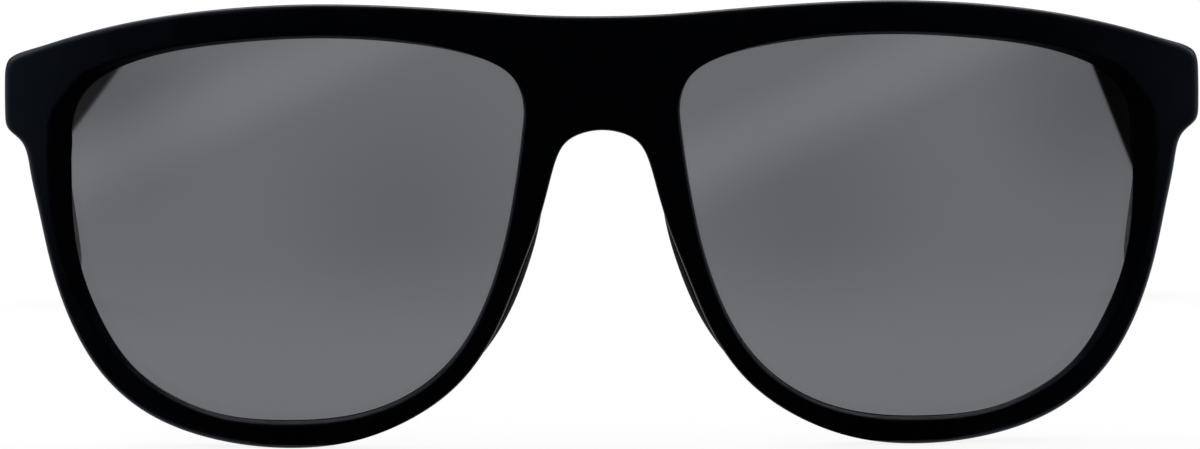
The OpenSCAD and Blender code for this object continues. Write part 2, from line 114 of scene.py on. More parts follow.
# Sizes of the moulded parts in mm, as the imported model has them
LENS_X = 37.25
LENS_W = 55.4
LENS_RISE = 1.3
LENS_T = 2.0
BALL_R = 132.5
BALL_X = 21.0
LENS_SEAT = 0.75
LENS_PLAY = 0.06
FACE_PROUD = 1.5
FRONT_T = 4.4
END_T = 3.9
LAND_H = 7.4
LIP_T = 0.3
WALL_DRAFT = 0.25
LAND_R = 0.6
PLATE_PROUD = 0.04
EDGE_GAP = 0.15
TEMPLE_T, TIP_T = 3.6, 3.0
TEMPLE_H, TIP_H = 7.7, 8.0
SHUT_GAP = 0.1
STRAIGHT_L = 84.0
FLAT_L = 15.0
SLOPE, EAR_BEND = 7.5, 36.0
EAR_R = 35.0
TIP_IN, BOW = 2.0, 0.4
CROWN = 0.12
# A nose pad's first and last spoke, its gap to the rear face and its foot's full width
PAD_FROM, PAD_TO = 24.1, 27.4
PAD_GAP = 0.05
PAD_FOOT = 2.3

# Finer forms, in mm. The samples on the middle plane stay clear of the front's rounded
# edges, and the bevel is narrower beside the nose by a share, which fades out and in again
# over the given spokes.
EDGE_CLEAR = 1.8
NOSE_BEVEL_LESS = 0.75
NOSE_BEVEL_OUT, NOSE_BEVEL_IN = (0, 3), (14, 20)
# The chamfer where a lens opening meets the rear face, and its rounding
CHAMFER, CHAMFER_R = 0.5, 0.25
# A temple's butt: its edge's rounding, and how far its sections stand upright
BUTT_R, UPRIGHT_L = 0.25, 0.3
# Over its last SLIM_L a temple gets thinner by SLIM on each side and turns in by SLIM_IN
SLIM_L, SLIM, SLIM_IN = 18, 0.15, 0.35

# Painted light and shade in the tint of the lenses: a painted lighter foot, a painted
# reflection in a slanting streak, and painted shade in a pool beside the nose and under the
# brow's end. Places are in mm from a lens's middle, outwards from the nose and up, and the
# amounts are shares of the mean tint.
FOOT_PAINTED_LIGHT, FOOT_LOW, FOOT_TOP = 0.17, -16, 0
STREAK_PAINTED_REFLECTION, STREAK_ANGLE, STREAK_UP, STREAK_REACH = 0.25, 25, 18, 7
POOL_PAINTED_SHADE, POOL_OUT, POOL_UP, POOL_REACH = -0.15, -13, 3, 20
BROW_PAINTED_SHADE, BROW_OUT, BROW_UP, BROW_REACH = -0.25, 24, 16, 18
# Painted shade at the upper outer corner of each lens, which stands for the temple seen
# through the lens: the angle and the distance of its edge, how soft the edge is, and the
# share of the tint that is left beyond it
CORNER_ANGLE = {-1: 143.5, 1: 21}
CORNER_EDGE = {-1: 29, 1: 28}
CORNER_SOFT = (-0.2, 0.3)
CORNER_PAINTED_SHADE_LEFT_OVER = {-1: 0.075, 1: 0.003}

# Gloss of the plastic and of the nose pads
PLASTIC_GLOSS = 0.2
PAD_ROUGH, PAD_GLOSS, PAD_SHEEN = 0.6, 0.04, (0.5, 0.5, 0.55)

# The stage, in metres: the world's plain light, the floor, the dark card and the lamps.
# A lamp has an azimuth, an elevation, a distance and a size.
AMBIENT = 0.55
FLOOR_SHADOW, FLOOR_REACH = 0.12, 4.0
MIDDLE_Z = 0.03
CARD_LIGHT, CARD_REACH, CARD_Y, CARD_DROP = 0.028, 0.5, -0.066, 0.0295
LAMP_POWER = 7
LAMPS = (
    ("key lamp", -95, 50, 1.2, 0.7),
    ("fill lamp", 100, 40, 1.3, 0.8),
    ("rear lamp", 178, 45, 1.3, 0.9),
)
# The point that the camera looks at, in mm, counted like the curves
LOOK_AT = (-0.32, 0, 2.18)


# Sizes and colours that a user would change


class SunglassesShape(bpy.types.PropertyGroup):
    """Sizes of the edges and bands of the moulded pieces."""

    bevel_w: bpy.props.FloatProperty(
        name="Bevel width", description="Sloping band round a lens, at its widest",
        default=0.0029, min=0.001, max=0.0035, unit="LENGTH")
    edge_r: bpy.props.FloatProperty(
        name="Front edge radius", description="Rounding of the front's outer edge",
        default=0.0006, min=0.0003, max=0.0012, unit="LENGTH")
    rear_r: bpy.props.FloatProperty(
        name="Rear edge radius", description="Rounding of the front's rear edge",
        default=0.0011, min=0.0006, max=0.0013, unit="LENGTH")
    crease_r: bpy.props.FloatProperty(
        name="Crease radius", description="Rounding where the face meets the bevel",
        default=0.00035, min=0.0001, max=0.0008, unit="LENGTH")
    temple_r: bpy.props.FloatProperty(
        name="Temple edge radius", description="Rounding of a temple's long edges",
        default=0.0011, min=0.0004, max=0.0014, unit="LENGTH")
    pad_out: bpy.props.FloatProperty(
        name="Pad reach", description="How far a nose pad stands out beyond the rim",
        default=0.00095, min=0.0006, max=0.0013, unit="LENGTH")
    pad_back: bpy.props.FloatProperty(
        name="Pad depth", description="How far a nose pad stands behind the rim",
        default=0.0044, min=0.003, max=0.005, unit="LENGTH")


class SunglassesFinish(bpy.types.PropertyGroup):
    """Colours and gloss of the finishes."""

    plastic: bpy.props.FloatVectorProperty(
        name="Plastic", description="Colour of the moulded front and temples",
        default=(0.0003, 0.0003, 0.0005), size=3, min=0, max=1, subtype="COLOR")
    plastic_sheen: bpy.props.FloatVectorProperty(
        name="Plastic reflection", description="Tint of what the plastic reflects",
        default=(0.47, 0.64, 1.0), size=3, min=0, max=1, subtype="COLOR")
    plastic_rough: bpy.props.FloatProperty(
        name="Plastic roughness", description="Mean roughness of the satin plastic",
        default=0.36, min=0.05, max=0.9, subtype="FACTOR")
    rubber: bpy.props.FloatVectorProperty(
        name="Nose pads", description="Colour of the nose pads",
        default=(0.0010, 0.0010, 0.0012), size=3, min=0, max=1, subtype="COLOR")
    lens: bpy.props.FloatVectorProperty(
        name="Lens tint", description="Mean tint of a lens",
        default=(0.139, 0.143, 0.153), size=3, min=0, max=1, subtype="COLOR")
    nickel: bpy.props.FloatVectorProperty(
        name="Hinges", description="Colour of the hinge leaves and barrels",
        default=(0.56, 0.57, 0.59), size=3, min=0, max=1, subtype="COLOR")
    steel: bpy.props.FloatVectorProperty(
        name="Screws and wires", description="Colour of the screws and core wires",
        default=(0.62, 0.63, 0.65), size=3, min=0, max=1, subtype="COLOR")


class SunglassesStudio(bpy.types.PropertyGroup):
    """The camera and the light."""

    distance: bpy.props.FloatProperty(
        name="Camera distance", description="From the camera to the point it looks at",
        default=2.4, min=0.4, max=5, unit="LENGTH")
    elevation: bpy.props.FloatProperty(
        name="Camera elevation", description="Angle of the camera above the front",
        default=math.radians(7.5), min=0, max=1.2, subtype="ANGLE")
    azimuth: bpy.props.FloatProperty(
        name="Camera azimuth", description="Turn of the camera round the sunglasses",
        default=0, min=-3.2, max=3.2, subtype="ANGLE")
    roll: bpy.props.FloatProperty(
        name="Camera roll", description="Roll of the camera about its own axis",
        default=math.radians(-0.425), min=-0.2, max=0.2, subtype="ANGLE")
    picture_w: bpy.props.FloatProperty(
        name="Picture width", description="Width that the picture covers at the front",
        default=0.14654, min=0.05, max=1, unit="LENGTH")
    lamp_level: bpy.props.FloatProperty(
        name="Lamp level", description="Strength of the soft lamps together",
        default=1.0, min=0, max=4)


# Curves and surfaces, all in mm with z counted from the centre of the lens spheres


def smooth_loop(knots, steps, power=0.5):
    """Closed curve through the knots, with steps samples from each knot to the next.

    Between two knots a span h apart, where h is their distance to the given power, it is
    the cubic whose second derivatives at the ends, M, make it twice smooth: at x along
    the span, (M0 (h - x)^3 + M1 x^3) / 6h plus the straight line that meets both knots.
    """
    n = len(knots)
    after = np.roll(knots, -1, axis=0)
    h = np.linalg.norm(after - knots, axis=1) ** power
    before = np.roll(h, 1)
    i = np.arange(n)
    system = np.zeros((n, n))
    system[i, i] = 2 * (h + before)
    system[i, (i + 1) % n] += h
    system[i, (i - 1) % n] += before
    rise = (after - knots) / h[:, None]
    second = np.linalg.solve(system, 6 * (rise - np.roll(rise, 1, axis=0)))
    second_after = np.roll(second, -1, axis=0)
    x = (np.arange(steps) / steps)[None, :, None] * h[:, None, None]
    h = h[:, None, None]
    ends = second[:, None] * (h - x) ** 3 + second_after[:, None] * x ** 3
    start = knots[:, None] / h - second[:, None] * h / 6
    stop = after[:, None] / h - second_after[:, None] * h / 6
    return (ends / (6 * h) + start * (h - x) + stop * x).reshape(n * steps, -1)


def unit(v):
    """Each vector divided by its length."""
    return v / np.maximum(np.linalg.norm(v, axis=-1, keepdims=True), 1e-9)


def outward(points):
    """Outward normals of a closed curve that runs clockwise, from its neighbours' chord."""
    chord = np.roll(points, -1, axis=0) - np.roll(points, 1, axis=0)
    return unit(np.stack([-chord[:, 1], chord[:, 0]], axis=1))


def ease(a, b, v):
    """Smooth step of v from 0 at a to 1 at b: 3 t squared less 2 t cubed."""
    t = np.clip((v - a) / (b - a), 0, 1)
    return t * t * (3 - 2 * t)


def dome(r, x, z):
    """Depth of a sphere of radius r about a centre BALL_R behind the front."""
    return BALL_R - np.sqrt(r * r - x * x - z * z)


def lens_front(p):
    """Depth of a lens's front surface at points p of x and z."""
    return dome(BALL_R, p[..., 0] - BALL_X, p[..., 1])


def lens_rear(p):
    """Depth of a lens's rear surface."""
    return dome(BALL_R - LENS_T, p[..., 0] - BALL_X, p[..., 1])


def face(p):
    """Depth of the front's face: the lens sphere, moved forward, and straight at the bridge."""
    return dome(BALL_R, np.maximum(p[..., 0] - BALL_X, 0), p[..., 1]) - FACE_PROUD


LENS_KNOTS = SPOKES[:, :2] + (LENS_X, LENS_RISE)
RIM_KNOTS = LENS_KNOTS + SPOKES[:, 2:4]
RIM_KNOTS[ARCH:, 0] = 0
RIM_KNOTS[0, 0] = 0
HINGE_Z = (RIM_KNOTS[END_TOP, 1] + RIM_KNOTS[END_LOW, 1]) / 2
LAND_Y = float(face(np.array([RIM_KNOTS[END_SIDE, 0], HINGE_Z]))) + END_T
LENS_EDGE = LENS_X + LENS_W / 2
# Depth of the lenses' middle in the part's frame, in metres
LENS_Y = (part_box("lens_left")[0].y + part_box("lens_left")[1].y) / 2
TEMPLE_OUT = RIM_KNOTS[END_SIDE, 0] - EDGE_GAP
TEMPLE_IN = TEMPLE_OUT - TEMPLE_T


def land_share(p):
    """1 on the flat land behind each end piece, fading to 0 round it."""
    share = ease(LENS_EDGE - 7.5, LENS_EDGE - 1.2, p[..., 0])
    return share * (1 - ease(LAND_H / 2, LAND_H / 2 + 2.7, abs(p[..., 1] - HINGE_Z)))


def rear(p):
    """Depth of the front's rear face, which rises to the lands."""
    y = face(p) + FRONT_T
    return y + (LAND_Y - PLATE_PROUD - y) * land_share(p)


def lens_loop(steps):
    """The lens opening as a closed curve, steps samples to a spoke, with its normals."""
    points = smooth_loop(LENS_KNOTS, steps)
    return points, outward(points)


def rim_loop(steps):
    """The rim's outline, sampled like lens_loop, with its normals.

    The outline of both halves is one closed curve. Beyond the arch the samples slide up
    the middle plane, clear of the rounded edges of the arch and of the brow, where the
    normals are 0 and no wall is made.
    """
    right = RIM_KNOTS[:ARCH + 1]
    left = right[1:ARCH][::-1] * (-1, 1)
    whole = smooth_loop(np.concatenate([right, left]), steps)
    last = ARCH * steps
    normals = outward(whole)[:last + 1]
    half = whole[:last + 1]
    samples = (SPOKE_N - ARCH) * steps - 1
    rise = np.linspace(RIM_KNOTS[ARCH, 1] + EDGE_CLEAR, RIM_KNOTS[0, 1] - EDGE_CLEAR, samples)
    middle = np.stack([np.zeros(samples), rise], axis=1)
    return np.concatenate([half, middle]), np.concatenate([normals, np.zeros_like(middle)])


def spot(p, y):
    """Points with x and z from p and depth y."""
    return np.stack([p[..., 0], y, p[..., 1]], axis=-1)


def soften(before, corner, after, radius, steps=5):
    """Rounded corner: the quadratic curve between the points one radius off, both ways."""
    a = corner + unit(before - corner) * radius
    b = corner + unit(after - corner) * radius
    t = np.linspace(0, 1, steps)[:, None, None]
    return list((1 - t) ** 2 * a + 2 * t * (1 - t) * corner + t ** 2 * b)


def quarter(out, normal, depth, sign, radius, steps=7):
    """Quarter round from a face to the wall at out: at angle t the point lies
    radius (1 - sin t) inside the wall and radius (1 - cos t) from the face."""
    t = np.linspace(0, np.pi / 2, steps)
    radius = radius * np.ones((len(out), 1))
    rings = []
    for s, c in zip(np.sin(t), np.cos(t)):
        p = out - normal * radius * (1 - s)
        rings.append(spot(p, depth(p) + sign * radius[:, 0] * (1 - c)))
    return rings


# Meshes


def place(points):
    """Points in mm, counted from the spheres' centres, as metres in the part's frame."""
    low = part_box("front_frame")[0]
    rim, _ = rim_loop(FINE)
    shift = (0, low.y / MM - face(rim).min(), -rim[:, 1].min())
    return (np.asarray(points) + shift) * MM


def mesh_object(name, points, faces):
    """A smooth-shaded object whose mesh has these points in metres and these faces."""
    mesh = bpy.data.meshes.new(name)
    mesh.from_pydata(points.tolist(), [], [tuple(f) for f in faces])
    mesh.validate()
    mesh.shade_smooth()
    obj = bpy.data.objects.new(name, mesh)
    bpy.context.scene.collection.objects.link(obj)
    return obj


def grid_faces(rows, columns, wrap_rows, wrap_columns):
    """Quads of a grid whose point (i, k) has the number i columns + k."""
    i, k = np.meshgrid(
        np.arange(rows if wrap_rows else rows - 1),
        np.arange(columns if wrap_columns else columns - 1), indexing="ij")
    i2, k2 = (i + 1) % rows, (k + 1) % columns
    quads = [i * columns + k, i2 * columns + k, i2 * columns + k2, i * columns + k2]
    return np.stack(quads, axis=-1).reshape(-1, 4), i.ravel(), k.ravel()


def skin(rings):
    """Points and faces of a closed skin over rings, each end shut by a fan to its middle."""
    n, m, _ = rings.shape
    quads, _, _ = grid_faces(n, m, False, True)
    points = np.concatenate([rings.reshape(-1, 3), rings[:1].mean(1), rings[-1:].mean(1)])
    k = np.arange(m)
    first = np.stack([np.full(m, n * m), k, (k + 1) % m], axis=1)
    last = np.stack([np.full(m, n * m + 1), (k + 1) % m + (n - 1) * m, k + (n - 1) * m], axis=1)
    return points, quads.tolist() + first.tolist() + last.tolist()


def outward_faces(obj):
    """Turns the faces of a closed mesh outwards, by the sign of its volume."""
    mesh = obj.data
    mesh.calc_loop_triangles()
    co = np.empty(len(mesh.vertices) * 3, np.float32)
    mesh.vertices.foreach_get("co", co)
    tri = np.empty(len(mesh.loop_triangles) * 3, np.int32)
    mesh.loop_triangles.foreach_get("vertices", tri)
    p = co.reshape(-1, 3).astype(float)[tri.reshape(-1, 3)]
    if np.einsum("ij,ij->i", p[:, 0], np.cross(p[:, 1], p[:, 2])).sum() < 0:
        mesh.flip_normals()
    return obj


def piece(name, points, faces, material, body, replaces):
    """A finished piece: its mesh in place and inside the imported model's box, riding on its
    body and standing for a node."""
    points = np.clip(points, *np.array(CAD_BOX))
    obj = outward_faces(mesh_object(name, points, faces))
    obj.data.materials.append(material)
    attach(obj, body)
    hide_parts(replaces)
    return obj


def bevel_width(shape):
    """Width of the bevel at every sample: its share of the widest, less beside the nose."""
    width = smooth_loop(SPOKES[:, 4:5], FINE, 0) * shape.bevel_w / MM
    spoke = np.arange(len(width))[:, None] / FINE
    beside_nose = 1 + ease(*NOSE_BEVEL_IN, spoke) - ease(*NOSE_BEVEL_OUT, spoke)
    return width * (1 - NOSE_BEVEL_LESS * beside_nose)


def bevel_rings(shape, opening, lens_n, face_edge):
    """Rings from the lip before the lens up the bevel and over the face to its edge: both
    corners are softened, and five rings lie evenly over the face between them."""
    top = opening + lens_n * bevel_width(shape)
    groove_front = spot(opening, lens_front(opening) - LENS_PLAY)
    lip = spot(opening, lens_front(opening) - LENS_PLAY - LIP_T)
    crease = spot(top, face(top))
    band = np.linalg.norm(face_edge - top, axis=1, keepdims=True)
    crease_r = np.minimum(shape.crease_r / MM, 0.35 * band)
    first, last = crease_r / band + 0.06, 0.94
    across = [top + (face_edge - top) * (first + (last - first) * t) for t in np.linspace(0, 1, 5)]
    over = [spot(p, face(p)) for p in across]
    lip_rings = soften(groove_front, lip, crease, 0.5 * LIP_T)
    return lip_rings + soften(lip, crease, over[0], crease_r, 7) + over


def groove_rings(opening, lens_n, rear_edge):
    """Rings from the rear face's edge over it, round the chamfer, into the lens groove and
    back to the lip."""
    corner = opening + lens_n * CHAMFER
    back = [corner + (rear_edge - corner) * t for t in (0.94, 0.85, 0.7, 0.5, 0.35)]
    behind = [spot(p, rear(p)) for p in back]
    inner = spot(opening, rear(opening) - CHAMFER)
    floor = opening + lens_n * (LENS_SEAT + LENS_PLAY)
    rings = behind + soften(behind[-1], spot(corner, rear(corner)), inner, CHAMFER_R)
    rings += [inner, spot(opening, lens_rear(opening) + LENS_PLAY)]
    rings += [spot(floor, lens_rear(floor) + LENS_PLAY), spot(floor, lens_front(floor) - LENS_PLAY)]
    return rings + [spot(opening, lens_front(opening) - LENS_PLAY)]


def front_stations(shape):
    """The rim's section at every sample: a list of rings of points round the rim.

    From the lip before the lens it runs up the bevel, over the face, round the edge, down
    the wall, over the rear face and through the lens groove back to the lip. The second and
    third values are the numbers of the wall's first and last ring.
    """
    opening, lens_n = lens_loop(FINE)
    outer, rim_n = rim_loop(FINE)
    land = land_share(outer)[:, None]
    edge_r, rear_r = shape.edge_r / MM, shape.rear_r / MM
    rear_r = rear_r + (LAND_R - rear_r) * land
    foot = outer - rim_n * WALL_DRAFT * (1 - land)
    rings = bevel_rings(shape, opening, lens_n, outer - rim_n * edge_r)
    wall_from = len(rings)
    rings += quarter(outer, rim_n, face, 1, edge_r)
    rings += quarter(foot, rim_n, rear, -1, rear_r)[::-1]
    wall_to = len(rings) - 1
    rings += groove_rings(opening, lens_n, foot - rim_n * rear_r)
    return np.stack(rings, axis=1), wall_from, wall_to


def front_mesh(shape):
    """Points and faces of the whole front: the half's grid of samples by section points,
    less the wall on the middle plane, and its mirror image joined along that plane."""
    rings, wall_from, wall_to = front_stations(shape)
    n, m, _ = rings.shape
    quads, i, k = grid_faces(n, m, True, True)
    arch = ARCH * FINE
    open_wall = (i >= arch) & (k >= wall_from) & (k < wall_to)
    quads = quads[~open_wall]
    half = rings.reshape(-1, 3)
    ring, station = np.divmod(np.arange(n * m), m)
    shared = ((ring == 0) | (ring >= arch)) & (station >= wall_from) & (station <= wall_to)
    other = np.where(shared, np.arange(n * m), np.arange(n * m) + n * m)
    points = np.concatenate([half, half * (-1, 1, 1)])
    faces = np.concatenate([quads, other[quads][:, ::-1]])
    used, faces = np.unique(faces, return_inverse=True)
    return points[used], faces.reshape(-1, 4)


def lens_mesh():
    """Points and faces of a lens: rings that grow from its middle to the opening on the
    front sphere, and shrink again on the rear sphere. Between them, out of sight in the
    groove, lie three narrow rings and a ridge, so that smooth shading bends only there."""
    opening, normal = lens_loop(4)
    middle = np.array([LENS_X, LENS_RISE])
    discs = [middle + (opening - middle) * t for t in np.linspace(0.04, 1, 22)]
    discs += [opening + normal * (LENS_SEAT * t) for t in (0.25, 0.55, 0.85)]
    rings = [spot(p, lens_front(p)) for p in discs]
    ridge = opening + normal * LENS_SEAT
    for t in (0.15, 0.5, 0.85):
        rings.append(spot(ridge, lens_front(ridge) * (1 - t) + lens_rear(ridge) * t))
    rings += [spot(p, lens_rear(p)) for p in discs[::-1]]
    return skin(np.stack(rings))


def rim_place(u, steps=48):
    """Points of the rim's outline at spokes u, and the outward way there."""
    rim, normal = rim_loop(steps)
    at = np.arange(len(rim)) / steps
    point = np.stack([np.interp(u, at, rim[:, c]) for c in (0, 1)], axis=1)
    way = np.stack([np.interp(u, at, normal[:, c]) for c in (0, 1)], axis=1)
    return point, unit(way)


def pad_mesh(shape):
    """Points and faces of a nose pad: a profile with a flat foot and a rounded back,
    carried along the rim from PAD_FROM to PAD_TO, whose reach swells as a sine, its depth
    as the sine's root and its width as the fourth root. The stations crowd at the ends."""
    t = (1 - np.cos(np.linspace(0, np.pi, 57))) / 2
    base, normal = rim_place(PAD_FROM + (PAD_TO - PAD_FROM) * t)
    swell = np.sin(np.pi * (0.003 + 0.994 * t))[:, None]
    foot = PAD_FOOT * (0.3 + 0.7 * swell ** 0.25)
    out = shape.pad_out / MM * swell
    back = shape.pad_back / MM * np.sqrt(swell)
    zero = 0 * swell
    across = np.concatenate([
        zero, 0.9 * foot, foot + 0.35 * out, foot + 0.9 * out, foot + out,
        foot + 0.7 * out, 0.75 * foot, 0.3 * foot, zero], axis=1)
    depth = PAD_GAP + np.concatenate([
        zero, zero, 0.06 * back, 0.3 * back, 0.5 * back, 0.8 * back, back, 0.85 * back,
        0.45 * back], axis=1)
    depth = np.minimum(depth, shape.pad_back / MM)
    profile = np.stack([across, depth], axis=2)
    profile = np.stack([smooth_loop(p, 6) for p in profile])
    start = base - normal * foot
    p = start[:, None] + normal[:, None] * profile[..., :1]
    seat = start[:, None] + normal[:, None] * np.minimum(profile[..., :1], 0.9 * foot[:, None])
    return skin(spot(p, rear(seat) + profile[..., 1]))


def temple_line(s):
    """The temple's middle line at lengths s: depth and height along a straight stretch,
    the bend over the ear and a straight tip, and the angle at which it falls."""
    bend_l = EAR_R * math.radians(EAR_BEND)
    steep = math.radians(SLOPE + EAR_BEND)
    flat = math.radians(SLOPE)
    turn = np.clip((s - STRAIGHT_L) / EAR_R, 0, bend_l / EAR_R) + flat
    run = np.minimum(s, STRAIGHT_L)
    beyond = np.maximum(s - STRAIGHT_L - bend_l, 0)
    y = LAND_Y + SHUT_GAP + run * math.cos(flat)
    y = y + EAR_R * (np.sin(turn) - math.sin(flat)) + beyond * math.cos(steep)
    z = HINGE_Z - run * math.sin(flat)
    z = z - EAR_R * (math.cos(flat) - np.cos(turn)) - beyond * math.sin(steep)
    return y, z, turn


def temple_length():
    """Length of the middle line, whose end lies half a tip's height over the table."""
    rim, _ = rim_loop(FINE)
    bend_end = STRAIGHT_L + EAR_R * math.radians(EAR_BEND)
    _, z, turn = temple_line(np.array([bend_end]))
    return bend_end + (z[0] - rim[:, 1].min() - TIP_H / 2) / math.sin(turn[0])


def temple_section(shape, h, t):
    """Places across and up of a rounded rectangle of half height h and half thickness t,
    with nine more on its outer side, so that the side can be crowned."""
    r = np.minimum(shape.temple_r / MM, np.minimum(0.8 * t, 0.8 * h))
    arc = np.linspace(0, np.pi / 2, 7)
    corners = []
    for side, low, start in ((1, -1, -0.5), (1, 1, 0), (-1, 1, 0.5), (-1, -1, 1)):
        a = arc + start * np.pi
        corners.append(((t - r) * side + r * np.cos(a), (h - r) * low + r * np.sin(a)))
        if side == 1 and low == -1:
            v = np.linspace(-0.8, 0.8, 9)
            corners.append((t + 0 * v, (h - r) * v))
    return [np.concatenate(c, axis=1) for c in zip(*corners)]


def temple_mesh(shape):
    """Points and faces of a temple: a rounded rectangle with a crowned outer side, carried
    along the middle line, with a flat butt at the hinge and a half-round tip. The line bows
    outwards a little and then turns in towards the tip."""
    length = temple_length()
    butt = np.array([0, 0.04, 0.12, 0.25, 1, 4, 8, 12])
    along = np.linspace(FLAT_L, length, 90)
    turn = np.linspace(0, np.pi / 2, 16)[1:]
    tip = length + TIP_H / 2 * np.sin(turn) * 0.995
    s = np.concatenate([butt, along, tip])[:, None]
    body = np.minimum(s, length)
    share = np.sqrt(np.maximum(1 - (np.maximum(s - length, 0) / (TIP_H / 2)) ** 2, 0))
    inset = BUTT_R * (1 - np.sqrt(1 - (1 - np.minimum(s / BUTT_R, 1)) ** 2))
    y, z, fall = temple_line(s)
    upright = s < UPRIGHT_L
    h = TEMPLE_H + (TIP_H - TEMPLE_H) * ease(FLAT_L, length, body)
    h = h / 2 * share / np.where(upright, math.cos(math.radians(SLOPE)), 1) - inset
    t = TEMPLE_T + (TIP_T - TEMPLE_T) * ease(FLAT_L, length * 0.7, body)
    slim = ease(length - SLIM_L, length, s)
    t = t / 2 * (0.25 + 0.75 * share) - inset - SLIM * slim
    fall = np.where(upright, 0, fall)
    x, v = temple_section(shape, h, t)
    x = x + np.where(x > 0, CROWN * share * (1 - (v / h) ** 2), 0)
    middle = (TEMPLE_IN + TEMPLE_OUT) / 2 + BOW * ease(FLAT_L, length / 2, s)
    middle = middle - (TIP_IN + BOW) * 1.2 * ease(length * 0.45, length * 1.15, s) ** 1.2
    middle = middle - SLIM_IN * slim
    rings = np.stack([middle + x, y + v * np.sin(fall), z + v * np.cos(fall)], axis=2)
    return skin(rings)


# Finishes


def shader(name):
    """A new material, with its node tree emptied down to a Principled shader."""
    material = bpy.data.materials.new(name)
    material.use_nodes = True
    tree = material.node_tree
    tree.nodes.clear()
    output = tree.nodes.new("ShaderNodeOutputMaterial")
    surface = tree.nodes.new("ShaderNodeBsdfPrincipled")
    tree.links.new(surface.outputs["BSDF"], output.inputs["Surface"])
    return material, tree, surface


def object_noise(tree, scale, detail=3.0, stretch=(1, 1, 1)):
    """Noise on the piece's own coordinates, scale to the metre."""
    where = tree.nodes.new("ShaderNodeTexCoord")
    turn = tree.nodes.new("ShaderNodeMapping")
    turn.inputs["Scale"].default_value = stretch
    noise = tree.nodes.new("ShaderNodeTexNoise")
    noise.inputs["Scale"].default_value = scale
    noise.inputs["Detail"].default_value = detail
    tree.links.new(where.outputs["Object"], turn.inputs["Vector"])
    tree.links.new(turn.outputs["Vector"], noise.inputs["Vector"])
    return noise.outputs["Fac"]


def ramp(tree, value, stops):
    """Colours along a value: stops are pairs of place and colour."""
    node = tree.nodes.new("ShaderNodeValToRGB")
    node.color_ramp.interpolation = "EASE"
    elements = node.color_ramp.elements
    while len(elements) < len(stops):
        elements.new(0.5)
    for element, (position, colour) in zip(elements, stops):
        element.position = position
        element.color = (*colour, 1)
    tree.links.new(value, node.inputs["Fac"])
    return node.outputs["Color"]


def spread(tree, value, low, high):
    """The value from 0.3 to 0.7 spread over low to high."""
    node = tree.nodes.new("ShaderNodeMapRange")
    node.inputs["From Min"].default_value = 0.3
    node.inputs["From Max"].default_value = 0.7
    node.inputs["To Min"].default_value = low
    node.inputs["To Max"].default_value = high
    tree.links.new(value, node.inputs["Value"])
    return node.outputs["Result"]


def grain(tree, surface, height, distance):
    """Fine relief on the surface from a height value."""
    bump = tree.nodes.new("ShaderNodeBump")
    bump.inputs["Strength"].default_value = 0.5
    bump.inputs["Distance"].default_value = distance
    tree.links.new(height, bump.inputs["Height"])
    tree.links.new(bump.outputs["Normal"], surface.inputs["Normal"])


def tinted(colour, factor):
    """The colour times a factor."""
    return tuple(min(c * factor, 1) for c in colour)


def satin_plastic(name, colour, rough, specular, sheen):
    """Black injection-moulded plastic: satin, with a fine even grain and soft clouding."""
    material, tree, surface = shader(name)
    clouds = object_noise(tree, 70)
    shades = ramp(tree, clouds, [(0.3, tinted(colour, 0.8)), (0.7, tinted(colour, 1.25))])
    tree.links.new(shades, surface.inputs["Base Color"])
    wear = object_noise(tree, 260, 5)
    tree.links.new(spread(tree, wear, rough - 0.05, rough + 0.05), surface.inputs["Roughness"])
    grain(tree, surface, object_noise(tree, 5200, 2), 0.000012)
    surface.inputs["IOR"].default_value = 1.5
    surface.inputs["Specular IOR Level"].default_value = specular
    surface.inputs["Specular Tint"].default_value = (*sheen, 1)
    return material


def along(tree, centre, angle):
    """Distance in metres from a centre of x and z, along the way that rises by an angle."""
    where = tree.nodes.new("ShaderNodeTexCoord")
    turn = tree.nodes.new("ShaderNodeMapping")
    turn.vector_type = "TEXTURE"
    turn.inputs["Location"].default_value = (centre[0], 0, centre[1])
    turn.inputs["Rotation"].default_value = (0, -math.radians(angle), 0)
    split = tree.nodes.new("ShaderNodeSeparateXYZ")
    tree.links.new(where.outputs["Object"], turn.inputs["Vector"])
    tree.links.new(turn.outputs["Vector"], split.inputs["Vector"])
    return split.outputs["X"]


def smooth_range(tree, value, start, stop, low, high):
    """The value from start to stop, eased from low to high."""
    node = tree.nodes.new("ShaderNodeMapRange")
    node.interpolation_type = "SMOOTHSTEP"
    settings = (("From Min", start), ("From Max", stop), ("To Min", low), ("To Max", high))
    for socket, number in settings:
        node.inputs[socket].default_value = number
    tree.links.new(value, node.inputs["Value"])
    return node.outputs["Result"]


def maths(tree, operation, first, second):
    """The two values, added, multiplied and so on."""
    node = tree.nodes.new("ShaderNodeMath")
    node.operation = operation
    for socket, value in zip(node.inputs, (first, second)):
        if isinstance(value, float):
            socket.default_value = value
        else:
            tree.links.new(value, socket)
    return node.outputs["Value"]


def soft_spot(tree, centre, out, up, reach, amount):
    """The amount at a place out and up from a lens's middle, in mm, eased to 0 round it."""
    where = tree.nodes.new("ShaderNodeTexCoord")
    way = tree.nodes.new("ShaderNodeVectorMath")
    way.operation = "DISTANCE"
    side = math.copysign(1, centre[0])
    way.inputs[1].default_value = (centre[0] + side * out * MM, LENS_Y, centre[1] + up * MM)
    tree.links.new(where.outputs["Object"], way.inputs[0])
    return smooth_range(tree, way.outputs["Value"], 0.0, reach * MM, amount, 0.0)


